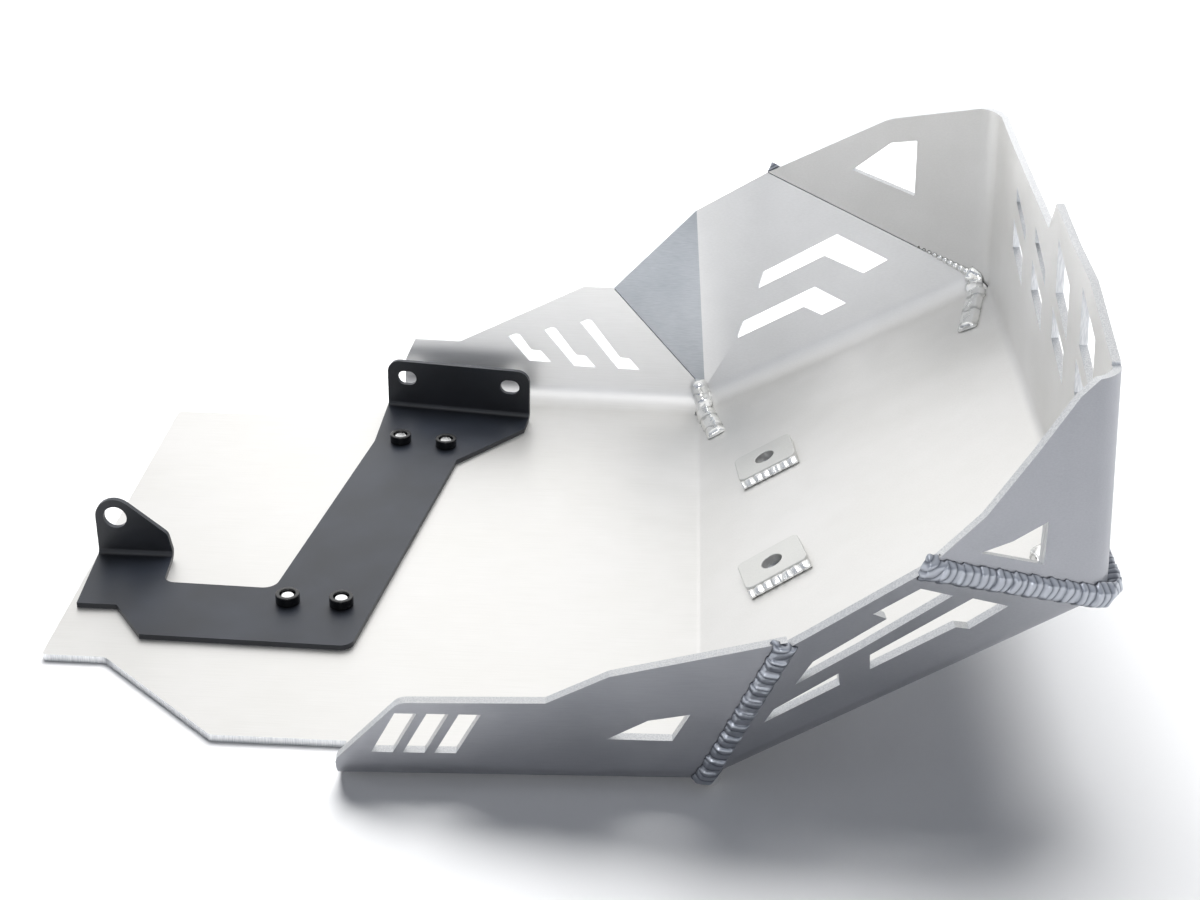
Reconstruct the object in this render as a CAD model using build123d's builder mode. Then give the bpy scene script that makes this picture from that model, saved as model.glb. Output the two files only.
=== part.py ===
from build123d import *
from math import atan2, cos, degrees, radians, sin, tan
import os

# Folded aluminium sheet: floor, ramp and front panel, each with a flared wall on both sides.
# X runs to the front of the machine, Y to its far side, Z up; the floor's underside is z = 0
# and the origin is under the middle of the floor's length.
sheet_t = 4.0
floor_length = 337.0
tail_near_y = 121.0
tail_far_y = 164.0
jog_y = 183.0
jog_rear_x = 304.0
jog_front_x = 235.5
far_jog_x = 260.0
ramp_angle = 30.0
ramp_length = 203.0
front_angle = 93.8
front_height = 114.0

# Half widths at the three fold corners, measured at the inner sharp lines.
half_width_floor = 200.0
half_width_ramp = 186.0
half_width_top = 176.0
near_taper = 2.6
far_taper = 1.3

# Wall folds, counted from flat.
wall_fold_floor = 76.2
wall_fold_ramp = 67.5
wall_fold_front = 66.8
wall_bend_r = 16.0
ramp_bend_r = 6.0
front_bend_r = 8.0
seam_gap = 0.5
near_wall_rear = 169.0
far_wall_rear = 195.0
near_corner_height = 105.0
far_corner_height = 113.5

# Welds. A corner weld's three values are its offset up the ramp at the corner, how much
# farther it drifts that way by its end, and how high it starts above the bend.
weld_width = 14.0
weld_height = 2.6
weld_pitch = 9.0
weld_root = 2.2
corner_weld_width = 13.0
corner_weld_height = 3.2
corner_weld_pitch = 9.5
corner_weld_root = 0.8
corner_weld_reach = 52.0
corner_weld_rear = (5.0, 8.0, 10.0)
corner_weld_front = (-9.0, -11.0, 2.0)
weld_near_rear_rise = 99.0
weld_near_front_rise = 80.0
weld_far_front_rise = 124.0
front_weld_tail = 24.0
floor_weld_stop = 0.3
far_rear_weld_end = 8.0
ripple_tilt = 8.0
ripple_overlap = 1.12

# Welded pads on the ramp.
pad_length = 37.0
pad_width = 30.0
pad_t = 5.0
pad_corner_r = 4.0
pad_bore_r = 6.0
pad_x = 46.5
pad_far_y = 79.0
pad_near_y = -43.0
pad_far_turn = 6.0
pad_near_turn = 10.0
pad_weld_leg = 5.0
pad_weld_pitch = 4.6
pad_weld_width = 8.0
pad_weld_height = 1.5
pad_weld_end = 0.5

# Folded steel bracket.
bracket_t = 3.0
bracket_bend_r = 3.0
ear_hole_r = 6.5
ear_hole_height = 22.8
ear_r = 11.0
ear_corner = (-335.0, -22.5)
ear_length = 41.5
flange_height = 31.5
flange_corner_r = 8.0
flange_slot_r = 4.75
flange_slot_length = 12.5
flange_slot_height = 20.0
flange_slot_spacing = 68.0
flange_turn = -6.8
flange_corner = (-202.5, 180.5)
flange_length = 93.5

# Screws from below with round collar nuts.
screw_r = 4.0
screw_head_r = 7.8
screw_hole_play = 0.2
collar_r = 6.5
collar_height = 5.4
collar_bore_play = 0.2
screw_below_rim = 1.0
screw_sink_angle = 90.0
screw_socket_r = 2.9
screw_socket_depth = 2.4

bend_x = floor_length / 2


def panel(origin, angle):
    a = radians(angle)
    return Plane(origin=origin, x_dir=(cos(a), 0, sin(a)), z_dir=(-sin(a), 0, cos(a)))


floor_in = panel((bend_x, 0, sheet_t), 0)
ramp_in = panel((bend_x, 0, sheet_t), ramp_angle)
front_in = panel(ramp_in.from_local_coords((ramp_length, 0, 0)), front_angle)


class Fold:
    """A wall folded up from a base plane along a line through a corner point."""

    def __init__(self, base, corner, heading, side, angle, radius):
        h = radians(heading)
        f = radians(angle)
        zero = base.from_local_coords((0, 0, 0))
        self.corner = base.from_local_coords((corner[0], corner[1], 0))
        self.along = (base.from_local_coords((cos(h), sin(h), 0)) - zero).normalized()
        self.normal = base.z_dir
        self.out = self.normal.cross(self.along) * side
        self.up = self.out * cos(f) + self.normal * sin(f)
        self.inward = self.normal * cos(f) - self.out * sin(f)
        self.side = side
        self.angle = angle
        self.radius = radius
        self.setback = radius * tan(f / 2)
        self.plane = Plane(origin=self.corner, x_dir=self.along, z_dir=self.inward * side)

    def point(self, u, v, depth=0.0):
        return self.corner + self.along * u + self.up * v - self.inward * depth


def heading(a, b):
    return degrees(atan2(b[1] - a[1], b[0] - a[0]))


def bend(fold, thickness, u0, u1):
    """The rolled strip between a base plane and its wall, from u0 to u1 along the fold."""
    profile = Plane(
        origin=fold.corner + fold.along * u0, x_dir=fold.out, z_dir=fold.along * fold.side
    )
    centre = (-fold.setback, fold.radius)
    with BuildPart() as strip:
        with BuildSketch(profile):
            with BuildLine():
                inner = CenterArc(centre, fold.radius, -90, fold.angle)
                outer = CenterArc(centre, fold.radius + thickness, -90, fold.angle)
                Line(inner @ 0, outer @ 0)
                Line(inner @ 1, outer @ 1)
            make_face()
        extrude(amount=fold.side * (u1 - u0))
    return strip.part


def plate(plane, outline, thickness, cutouts=(), rounds=()):
    """A flat plate hung under its plane; rounds are (point, radius) pairs of the outline."""
    with BuildPart() as flat:
        with BuildSketch(plane) as face:
            Polygon(*outline, align=None)
            for at, radius in rounds:
                fillet(face.vertices().sort_by_distance(Vector(at[0], at[1]))[0], radius)
        extrude(amount=thickness)
        for cut in cutouts:
            with BuildSketch(plane):
                Polygon(*cut, align=None)
            extrude(amount=2 * thickness, both=True, mode=Mode.SUBTRACT)
    return flat.part


def wall_plate(fold, outline, cutouts=(), rounds=()):
    return plate(fold.plane, outline, -fold.side * sheet_t, cutouts, rounds)


def trimmed(piece, cuts):
    """Keep the part of a piece behind (BOTTOM) or ahead (TOP) of each seam plane."""
    with BuildPart() as rest:
        add(piece)
        for plane, keep in cuts:
            split(bisect_by=plane, keep=keep)
    return rest.part


def seam_plane(a, b, at):
    """Mitre plane of two walls through a point of their seam, facing the front."""
    ridge = a.inward.cross(b.inward).normalized()
    across = ridge.cross(a.inward + b.inward).normalized()
    if across.X < 0:
        across = across * -1
    return Plane(origin=at, z_dir=across)


def behind(plane):
    return (plane.offset(-seam_gap / 2), Keep.BOTTOM)


def ahead(plane):
    return (plane.offset(seam_gap / 2), Keep.TOP)


floor_corner = (0, half_width_floor)
ramp_corner = (ramp_length, half_width_ramp)
top_corner = (front_height, half_width_top)
ramp_heading = heading(floor_corner, ramp_corner)
front_heading = heading((0, half_width_ramp), top_corner)

near_1 = Fold(floor_in, (0, -half_width_floor), near_taper, -1, wall_fold_floor, wall_bend_r)
near_2 = Fold(ramp_in, (0, -half_width_floor), -ramp_heading, -1, wall_fold_ramp, wall_bend_r)
near_3 = Fold(front_in, (0, -half_width_ramp), -front_heading, -1, wall_fold_front, wall_bend_r)
far_1 = Fold(floor_in, (0, half_width_floor), -far_taper, 1, wall_fold_floor, wall_bend_r)
far_2 = Fold(ramp_in, (0, half_width_floor), ramp_heading, 1, wall_fold_ramp, wall_bend_r)
far_3 = Fold(front_in, (0, half_width_ramp), front_heading, 1, wall_fold_front, wall_bend_r)

seam_near_1 = seam_plane(near_1, near_2, near_1.corner)
seam_near_2 = seam_plane(near_2, near_3, near_3.corner)
seam_far_2 = seam_plane(far_2, far_3, far_3.corner)
corner_far_1 = seam_plane(far_1, far_2, far_1.corner)

# The far rear weld leans back from the corner; a triangular facet joins it to wall 2.
facet_seam_low = (-2.0, 17.8)
facet_seam_top = (-58.9, 76.6)
facet_fold_top = (52.3, 118.0)
seam_low = far_1.point(*facet_seam_low)
seam_top = far_1.point(*facet_seam_top)
fold_top = far_2.point(*facet_fold_top)


class Facet:
    """The facet's plane through its seam with wall 1 and the top of its fold with wall 2."""

    def __init__(self):
        run = (seam_top - seam_low).normalized()
        self.inward = run.cross(fold_top - seam_low).normalized()
        if self.inward.Y > 0:
            self.inward = self.inward * -1
        self.plane = Plane(origin=seam_low, x_dir=run * -1, z_dir=self.inward)
        self.fold = self.inward.cross(far_2.inward).normalized()
        if self.fold.Z < 0:
            self.fold = self.fold * -1

    def flat(self, point):
        local = self.plane.to_local_coords(point)
        return (local.X, local.Y)


facet = Facet()
fold_low = fold_top - facet.fold * ((facet_fold_top[1] - far_2.setback) / facet.fold.dot(far_2.up))
seam_far_1 = Plane(
    origin=seam_low, z_dir=(seam_top - seam_low).cross(far_1.inward + facet.inward).normalized()
)
if seam_far_1.z_dir.X < 0:
    seam_far_1 = Plane(origin=seam_low, z_dir=seam_far_1.z_dir * -1)
facet_mitre = Plane(origin=fold_top, z_dir=facet.fold.cross(far_2.inward + facet.inward).normalized())
if facet_mitre.z_dir.X < 0:
    facet_mitre = Plane(origin=fold_top, z_dir=facet_mitre.z_dir * -1)


def edge_y(half, turn, inset, x):
    """Where a fold's tangent line runs: half width at x = 0, heading and inset from the fold."""
    return half + x * tan(radians(turn)) - inset / cos(radians(turn))


def make_floor():
    near_set = near_1.setback
    far_set = far_1.setback
    bend_start = ramp_bend_r * tan(radians(ramp_angle / 2))
    x0 = -floor_length
    far_y = edge_y(half_width_floor, -far_taper, far_set, -far_wall_rear)
    near_y = edge_y(half_width_floor, -near_taper, near_set, -near_wall_rear)
    outline = [
        (x0, -tail_near_y),
        (-jog_rear_x, -tail_near_y),
        (-jog_front_x, -jog_y),
        (-near_wall_rear, -jog_y),
        (-near_wall_rear, -near_y),
        (-bend_start, -edge_y(half_width_floor, -near_taper, near_set, -bend_start)),
        (-bend_start, edge_y(half_width_floor, -far_taper, far_set, -bend_start)),
        (-far_wall_rear, far_y),
        (-far_jog_x, tail_far_y),
        (x0, tail_far_y),
    ]
    rounds = [
        ((x0, -tail_near_y), 3),
        ((x0, tail_far_y), 3),
        ((-jog_rear_x, -tail_near_y), 5),
        ((-jog_front_x, -jog_y), 5),
    ]
    return plate(floor_in, outline, -sheet_t, rounds=rounds)


def make_ramp():
    s1 = ramp_bend_r * tan(radians(ramp_angle / 2))
    s2 = front_bend_r * tan(radians((front_angle - ramp_angle) / 2))
    y1 = edge_y(half_width_floor, ramp_heading, near_2.setback, s1)
    y2 = edge_y(half_width_floor, ramp_heading, near_2.setback, ramp_length - s2)
    outline = [(s1, -y1), (ramp_length - s2, -y2), (ramp_length - s2, y2), (s1, y1)]
    return plate(ramp_in, outline, -sheet_t)


def cross_bend(base, at, angle, radius, half):
    """A bend straight across the sheet, between two base panels."""
    setback = radius * tan(radians(angle / 2))
    corner = base.from_local_coords((at, -half, 0))
    profile = Plane(origin=corner, x_dir=base.x_dir, z_dir=(0, -1, 0))
    with BuildPart() as strip:
        with BuildSketch(profile):
            with BuildLine():
                inner = CenterArc((-setback, radius), radius, -90, angle)
                outer = CenterArc((-setback, radius), radius + sheet_t, -90, angle)
                Line(inner @ 0, outer @ 0)
                Line(inner @ 1, outer @ 1)
            make_face()
        extrude(amount=-2 * half)
    return strip.part


def lozenge(y, h, height, drop):
    return [(h, y), (h - drop, y - 35), (h - drop - height, y - 37), (h - height, y - 2)]


def make_front():
    s2 = front_bend_r * tan(radians((front_angle - ramp_angle) / 2))
    y2 = edge_y(half_width_ramp, front_heading, near_3.setback, s2)
    near_top = edge_y(half_width_ramp, front_heading, near_3.setback, near_corner_height)
    far_top = edge_y(half_width_ramp, front_heading, far_3.setback, far_corner_height)
    outline = [
        (s2, -y2),
        (near_corner_height, -near_top),
        (112.4, -138),
        (120, -110),
        (120.7, -67),
        (124.7, -19.4),
        (105.7, -3.7),
        (110, 110),
        (far_corner_height, far_top),
        (s2, y2),
    ]
    slots = []
    for i in range(4):
        y = 101 - i * 64.5
        slots.append(lozenge(y, 73.5, 17, 10))
        if i < 2:
            slots.append(lozenge(y - 4, 93.5, 8.5, 11))
        else:
            slots.append(lozenge(y - 3, 111, 28.5, 11.5))
    return plate(front_in, outline, -sheet_t, slots)


def make_near_walls():
    low = near_1.setback
    outline = [
        (-near_wall_rear, low),
        (-near_wall_rear + 1, 15.5),
        (-138, 54),
        (-72, 55.4),
        (-44, 73.7),
        (30, 96.9),
        (60, 106),
        (60, low),
    ]
    slots = [[(-44, 31.7), (-25.6, 45), (-6.7, 49.6), (-14, 31.3)]]
    for i in range(3):
        u = -147 + 14.5 * i
        slots.append([(u - 5, 20), (u + 5, 20), (u + 17, 47), (u + 7, 47)])
    wall_1 = wall_plate(near_1, outline, slots, [((-138, 54), 8), ((-44, 73.7), 6)])
    low = near_2.setback
    outline = [(0, low), (0, 60.5), (84.7, 68.8), (137.8, 74.9), (ramp_length, 82), (ramp_length, low)]
    slots = [
        [
            (65.8, 41.1),
            (78.6, 51.1),
            (116.6, 56.7),
            (112.7, 64),
            (136.1, 66),
            (146.4, 51.6),
            (99, 44.5),
        ],
        [(43.2, 24.8), (50.9, 30.8), (85, 35.1), (82.3, 26.7)],
        [(97.7, 27.9), (101.4, 37.8), (153.2, 43.7), (165, 27.3), (145, 24), (140.2, 29.5)],
    ]
    wall_2 = wall_plate(near_2, outline, slots)
    low = near_3.setback
    outline = [
        (-5, low),
        (-5, 111),
        (20, 111),
        (37, 86),
        (52, 63.6),
        (76.6, 39.7),
        (98.7, 19.8),
        (near_corner_height, low),
    ]
    hole = [(35.2, 65.9), (37.5, 50.2), (43.4, 32.7), (23.2, 34)]
    wall_3 = wall_plate(near_3, outline, [hole])
    return [
        trimmed(wall_1, [behind(seam_near_1)]),
        trimmed(wall_2, [ahead(seam_near_1), behind(seam_near_2)]),
        trimmed(wall_3, [ahead(seam_near_2)]),
        trimmed(bend(near_1, sheet_t, -near_wall_rear, 0), [behind(seam_near_1)]),
        trimmed(bend(near_2, sheet_t, 0, ramp_length), [ahead(seam_near_1), behind(seam_near_2)]),
        trimmed(bend(near_3, sheet_t, 0, near_corner_height), [ahead(seam_near_2)]),
    ]


def hockey_slot(u, v, reach):
    """A slanted slot with a short foot along the floor."""
    return [
        (u, v),
        (u + 4.5, v + 2),
        (u + 7.3, v + 1.8),
        (u + 7.3 + 0.82 * reach, v + 1.8 - reach),
        (u + 13.6 + 0.82 * reach, v + 1.4 - reach),
        (u + 20.6 + 0.82 * reach, v - 5.9 - reach),
        (u + 6.2 + 0.82 * reach, v - 5.7 - reach),
    ]


def make_far_walls():
    low = far_1.setback
    outline = [
        (-far_wall_rear, low),
        (-far_wall_rear, 23.4),
        (-189, 36.8),
        (-159, 36.6),
        (-130, 51),
        (-78.5, 76.7),
        (-40, 76.7),
        (6, low),
    ]
    slots = [hockey_slot(-127.2, 41.4, 9.9), hockey_slot(-103.6, 46.7, 17.3)]
    slots.append(hockey_slot(-80.1, 53, 24))
    wall_1 = wall_plate(far_1, outline, slots, [((-159, 36.6), 6), ((-78.5, 76.7), 5)])
    low = far_2.setback
    outline = [(0, low), (20, facet_fold_top[1] - 4), facet_fold_top, (103.3, 120.5)]
    outline += [(ramp_length, 125), (ramp_length, low)]
    slots = [
        [(68.7, 55.3), (76.4, 63.7), (129.5, 66.1), (152.6, 38), (135, 36.5), (116.6, 56.9)],
        [(42.5, 31.3), (50.7, 39.7), (102.9, 41.3), (117.2, 23.6), (99.7, 22.9), (91.2, 32.4)],
    ]
    wall_2 = wall_plate(far_2, outline, slots)
    low = far_3.setback
    outline = [
        (-5, low),
        (-5, 168),
        (40, 168),
        (52, 148),
        (81.1, 98.5),
        (98.4, 68.9),
        (100.5, 63.6),
        (far_corner_height, low),
    ]
    hole = [(62.8, 89.6), (84.3, 65.1), (87.8, 48.8), (51.1, 48.9)]
    wall_3 = wall_plate(far_3, outline, [hole], [((98.4, 68.9), 4)])
    over = facet.flat(fold_top + (fold_top - seam_top).normalized() * 8)
    past = facet.flat(fold_low + (fold_low - seam_low).normalized() * 8)
    before = facet.flat(seam_top + (seam_top - fold_top).normalized() * 8)
    under = facet.flat(seam_low + (seam_low - fold_low).normalized() * 3 + Vector(0, 0, -3))
    wedge = plate(facet.plane, [under, past, over, before], -sheet_t)
    return [
        trimmed(wall_1, [behind(seam_far_1)]),
        trimmed(wedge, [ahead(seam_far_1), (facet_mitre, Keep.BOTTOM)]),
        trimmed(wall_2, [(facet_mitre, Keep.TOP), behind(seam_far_2)]),
        trimmed(wall_3, [ahead(seam_far_2)]),
        trimmed(bend(far_1, sheet_t, -far_wall_rear, 0), [behind(corner_far_1)]),
        trimmed(bend(far_2, sheet_t, 0, ramp_length), [ahead(corner_far_1), behind(seam_far_2)]),
        trimmed(bend(far_3, sheet_t, 0, far_corner_height), [ahead(seam_far_2)]),
    ]


screw_sites = [(-220.4, -65.5), (-191.4, -66), (-187.1, 128), (-158.2, 124.5)]
screw_names = ["near_rear", "near_front", "far_rear", "far_front"]
pads = {
    "far": (pad_far_y, pad_far_turn),
    "near": (pad_near_y, pad_near_turn),
}


def pad_plane(side):
    y, turn = pads[side]
    t = radians(turn)
    along = ramp_in.x_dir * cos(t) + ramp_in.y_dir * sin(t)
    return Plane(
        origin=ramp_in.from_local_coords((pad_x, y, 0)), x_dir=along, z_dir=ramp_in.z_dir
    )


def make_sheet():
    s2 = front_bend_r * tan(radians((front_angle - ramp_angle) / 2))
    half_1 = half_width_floor - near_1.setback
    half_2 = edge_y(half_width_ramp, front_heading, near_3.setback, s2)
    pieces = [make_floor(), make_ramp(), make_front()]
    pieces.append(cross_bend(floor_in, 0, ramp_angle, ramp_bend_r, half_1))
    pieces.append(cross_bend(ramp_in, ramp_length, front_angle - ramp_angle, front_bend_r, half_2))
    pieces += make_near_walls() + make_far_walls()
    with BuildPart() as sheet:
        for piece in pieces:
            add(piece)
        for x, y in screw_sites:
            with Locations(Plane(origin=(bend_x + x, y, 0), z_dir=(0, 0, -1))):
                CounterSinkHole(
                    screw_r + screw_hole_play,
                    screw_head_r + screw_hole_play,
                    depth=2 * sheet_t,
                    counter_sink_angle=screw_sink_angle,
                )
        for side in pads:
            with Locations(pad_plane(side)):
                Hole(pad_bore_r, depth=2 * sheet_t)
    return sheet


def seam_strip(plane):
    """The thin strip that closes the gap of a wall seam, so that beads keep out of it."""
    with BuildPart() as strip:
        for face in skid_plate.faces().filter_by(plane):
            behind_by = (plane.origin - face.center()).dot(plane.z_dir)
            if abs(behind_by - seam_gap / 2) < seam_gap / 10:
                extrude(face, amount=seam_gap, dir=plane.z_dir)
    return strip


def bead_profile(w, height, root):
    """A flattened crown, half as wide as the foot, on sides that run down between the plates."""
    return [(-w, -root), (-w / 2, height), (w / 2, height), (w, -root)]


def weld(points, out_wall, out_base, size, touching, stop=1.0):
    """A rippled bead along top, low, corner, turn and end points; the corner is cut by a curve."""
    width, height, pitch, root, tilt = size
    with BuildLine() as path:
        top, low, corner, turn = points[:4]
        Line(top, low)
        Bezier(low, corner, turn)
        if len(points) > 4:
            Line(turn, points[4])
    wire = path.wire()
    first = (top - low).length
    curve = wire.length - first
    if len(points) > 4:
        curve -= (points[4] - turn).length
    count = round(wire.length / pitch)
    step = wire.length / count
    with BuildPart() as bead:
        for i in range(count):
            share = min(1.0, max(0.0, (i * step - first) / curve))
            if share > stop:
                break
            at = wire.position_at(i / count)
            ahead_dir = wire.tangent_at(i / count)
            outward = (out_wall * (1 - share) + out_base * share).normalized()
            across = outward.cross(ahead_dir).normalized()
            sloping = ahead_dir - outward * tan(radians(tilt))
            with BuildSketch(Plane(origin=at, x_dir=across, z_dir=sloping)):
                Polygon(*bead_profile(width / 2, height, root), align=None)
            extrude(amount=step * ripple_overlap)
        for other in touching:
            add(other.part, mode=Mode.SUBTRACT)
    solids = bead.part.solids().sort_by(SortBy.VOLUME)
    with BuildPart() as kept:
        add(solids[-1])
    return kept


def outer_corner(a, b, at, base):
    """Where the outer ridge of two walls meets the underside of a base panel."""
    both = a.inward + b.inward
    ridge = a.inward.cross(b.inward).normalized()
    if ridge.Z < 0:
        ridge = ridge * -1
    point = at - both * (sheet_t / (1 + a.inward.dot(b.inward)))
    above = (point - base.from_local_coords((0, 0, -sheet_t))).dot(base.z_dir)
    return point - ridge * (above / ridge.dot(base.z_dir)), ridge


def outer_weld(a, b, at, base, strip, rise, tail, stop=1.0):
    """The rippled bead down the outer ridge of a wall seam and round its fold corner."""
    corner, ridge = outer_corner(a, b, at, base)
    blend = (a.radius + sheet_t) * tan(radians(a.angle / 2))
    inward = Vector(0, -a.side, 0)
    points = [
        corner + ridge * (rise / ridge.dot(a.up)),
        corner + ridge * blend,
        corner,
        corner + inward * blend,
    ]
    if tail:
        points.append(corner + inward * (blend + tail))
    size = (weld_width, weld_height, weld_pitch, weld_root, ripple_tilt)
    out_wall = (a.inward + b.inward).normalized() * -1
    return weld(points, out_wall, base.z_dir * -1, size, [skid_plate, strip], stop=stop)


def inner_weld(a, b, at, way, strip, outer):
    """The broad bead inside a corner: down the seam, round the bend and in along the cross bend."""
    ridge = a.inward.cross(b.inward).normalized()
    if ridge.Z < 0:
        ridge = ridge * -1
    inward = Vector(0, -a.side, 0)
    shift, drift, rise = way
    corner = at + ramp_in.x_dir * shift
    points = [
        at + ridge * (a.setback + rise),
        at + ridge * a.setback,
        corner,
        corner + inward * a.setback,
        corner + inward * corner_weld_reach + ramp_in.x_dir * drift,
    ]
    size = (corner_weld_width, corner_weld_height, corner_weld_pitch, corner_weld_root, 0)
    out_wall = (a.inward + b.inward).normalized()
    return weld(points, out_wall, ramp_in.z_dir, size, [skid_plate, strip, outer])


def far_rear_weld():
    """The bead outside the leaning seam of the facet, ending where it meets the bend."""
    run = (seam_top - seam_low).normalized()
    both = (far_1.inward + facet.inward).normalized()
    depth = both * (sheet_t / both.dot(far_1.inward))
    top = seam_top - depth - run * 1
    low = seam_low - depth + run * 1
    size = (weld_width, weld_height, weld_pitch, weld_root, ripple_tilt)
    down = (run * -1 + far_1.up * -1).normalized()
    points = [top, low + run * far_rear_weld_end, low, low + down * far_rear_weld_end]
    return weld(points, both * -1, far_1.inward * -1, size, [skid_plate, strip_far_1])


def make_pad(side):
    plane = pad_plane(side)
    with BuildPart() as pad:
        with BuildSketch(plane):
            RectangleRounded(pad_length, pad_width, pad_corner_r)
            Circle(pad_bore_r, mode=Mode.SUBTRACT)
        extrude(amount=pad_t)
    return pad


def make_pad_weld(side, pad):
    plane = pad_plane(side)
    half = pad_length / 2 - pad_weld_end
    start = plane.from_local_coords((-half, -pad_width / 2, 0))
    along = plane.x_dir
    outward = (plane.z_dir - plane.y_dir).normalized()
    across = outward.cross(along)
    sloping = along - outward * tan(radians(ripple_tilt))
    count = round(2 * half / pad_weld_pitch)
    step = 2 * half / count
    with BuildPart() as bead:
        for i in range(count):
            at = start + along * (i * step) + outward * (pad_weld_leg * 0.6)
            with BuildSketch(Plane(origin=at, x_dir=across, z_dir=sloping)):
                Polygon(*bead_profile(pad_weld_width / 2, pad_weld_height, pad_weld_leg), align=None)
            extrude(amount=step if i == count - 1 else step * ripple_overlap)
        add(skid_plate.part, mode=Mode.SUBTRACT)
        add(pad.part, mode=Mode.SUBTRACT)
    solids = bead.part.solids().sort_by(SortBy.VOLUME)
    with BuildPart() as kept:
        add(solids[-1])
    return kept


def make_bracket():
    base = Plane(origin=(bend_x, 0, sheet_t + bracket_t), x_dir=(1, 0, 0), z_dir=(0, 0, 1))
    ear = Fold(base, ear_corner, 0, 1, 90, bracket_bend_r)
    flange = Fold(base, flange_corner, flange_turn, 1, 90, bracket_bend_r)
    set_in = bracket_bend_r
    fold_start = flange.point(0, 0) - flange.out * set_in
    fold_end = flange.point(flange_length, 0) - flange.out * set_in
    outline = [
        (ear_corner[0], ear_corner[1] - set_in),
        (-332, -75.5),
        (-310.5, -75.7),
        (-291, -103.2),
        (-180, -105.8),
        (-149.5, 105.5),
        (-111.5, 152),
        (fold_end.X - bend_x, fold_end.Y),
        (fold_start.X - bend_x, fold_start.Y),
        (-203.5, 127),
        (-230.5, -52.5),
        (-291.5, -50.5),
        (ear_corner[0] + ear_length, ear_corner[1] - set_in),
    ]
    rounds = [((-180, -105.8), 7), ((-230.5, -52.5), 8), ((-291.5, -50.5), 6)]
    with BuildPart() as bracket:
        add(plate(base, outline, -bracket_t, rounds=rounds))
        add(bend(ear, bracket_t, 0, ear_length))
        add(bend(flange, bracket_t, 0, flange_length))
        with BuildSketch(ear.plane) as face:
            Polygon(
                (0, set_in),
                (0, ear_hole_height),
                (ear_r + 7, ear_hole_height + 8.5),
                (39.5, 13.4),
                (ear_length, set_in),
                align=None,
            )
            fillet(face.vertices().sort_by_distance(Vector(39.5, 13.4))[0], 6)
            with Locations((ear_r, ear_hole_height)):
                Circle(ear_r)
                Circle(ear_hole_r, mode=Mode.SUBTRACT)
        extrude(amount=-bracket_t)
        with BuildSketch(flange.plane) as face:
            Polygon(
                (0, set_in),
                (0, flange_height),
                (flange_length, flange_height),
                (flange_length, set_in),
                align=None,
            )
            for u in (0, flange_length):
                top = face.vertices().sort_by_distance(Vector(u, flange_height))[0]
                fillet(top, flange_corner_r)
            with Locations((flange_length / 2, flange_slot_height)):
                with GridLocations(flange_slot_spacing, 0, 2, 1):
                    SlotOverall(flange_slot_length, 2 * flange_slot_r, mode=Mode.SUBTRACT)
        extrude(amount=-bracket_t)
        for x, y in screw_sites:
            with Locations(Plane(origin=(bend_x + x, y, sheet_t + bracket_t))):
                Hole(screw_r + screw_hole_play, depth=2 * bracket_t)
    return bracket


def make_collar(site):
    with BuildPart() as collar:
        with BuildSketch(Plane(origin=(bend_x + site[0], site[1], sheet_t + bracket_t))):
            Circle(collar_r)
            Circle(screw_r + collar_bore_play, mode=Mode.SUBTRACT)
        extrude(amount=collar_height)
    return collar


def make_screw(site):
    """A countersunk screw, flush below, that ends inside its collar nut."""
    top = sheet_t + bracket_t + collar_height - screw_below_rim
    sink = screw_head_r - screw_r
    with BuildPart() as screw:
        with BuildSketch(Plane(origin=(bend_x + site[0], site[1], 0), x_dir=(1, 0, 0), z_dir=(0, -1, 0))):
            Polygon(
                (0, screw_hole_play / 2),
                (screw_head_r, screw_hole_play / 2),
                (screw_r, screw_hole_play / 2 + sink),
                (screw_r, top),
                (0, top),
                align=None,
            )
        revolve(axis=Axis((bend_x + site[0], site[1], 0), (0, 0, 1)))
        with BuildSketch(Plane(origin=(bend_x + site[0], site[1], screw_hole_play / 2))):
            RegularPolygon(screw_socket_r, 6)
        extrude(amount=screw_socket_depth, mode=Mode.SUBTRACT)
    return screw


skid_plate = make_sheet()
strip_near_1 = seam_strip(seam_near_1)
strip_near_2 = seam_strip(seam_near_2)
strip_far_1 = seam_strip(seam_far_1)
strip_far_2 = seam_strip(seam_far_2)
strip_corner = seam_strip(corner_far_1)
weld_near_rear = outer_weld(
    near_1, near_2, near_1.corner, floor_in, strip_near_1, weld_near_rear_rise, 0, floor_weld_stop
)
weld_near_front = outer_weld(
    near_2, near_3, near_3.corner, ramp_in, strip_near_2, weld_near_front_rise, front_weld_tail
)
weld_far_rear = far_rear_weld()
weld_far_front = outer_weld(
    far_2, far_3, far_3.corner, ramp_in, strip_far_2, weld_far_front_rise, front_weld_tail
)
pieces = {
    "skid_plate": skid_plate,
    "weld_near_rear": weld_near_rear,
    "weld_near_front": weld_near_front,
    "weld_far_rear": weld_far_rear,
    "weld_far_front": weld_far_front,
    "corner_weld_near_rear": inner_weld(
        near_1, near_2, near_1.corner, corner_weld_rear, strip_near_1, weld_near_rear
    ),
    "corner_weld_near_front": inner_weld(
        near_2, near_3, near_3.corner, corner_weld_front, strip_near_2, weld_near_front
    ),
    "corner_weld_far_rear": inner_weld(
        far_1, far_2, far_1.corner, corner_weld_rear, strip_corner, weld_far_rear
    ),
    "corner_weld_far_front": inner_weld(
        far_2, far_3, far_3.corner, corner_weld_front, strip_far_2, weld_far_front
    ),
    "rear_bracket": make_bracket(),
}
for side in pads:
    pad = make_pad(side)
    pieces["pad_" + side] = pad
    pieces["pad_weld_" + side] = make_pad_weld(side, pad)
for name, site in zip(screw_names, screw_sites):
    pieces["collar_" + name] = make_collar(site)
    pieces["screw_" + name] = make_screw(site)

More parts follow.
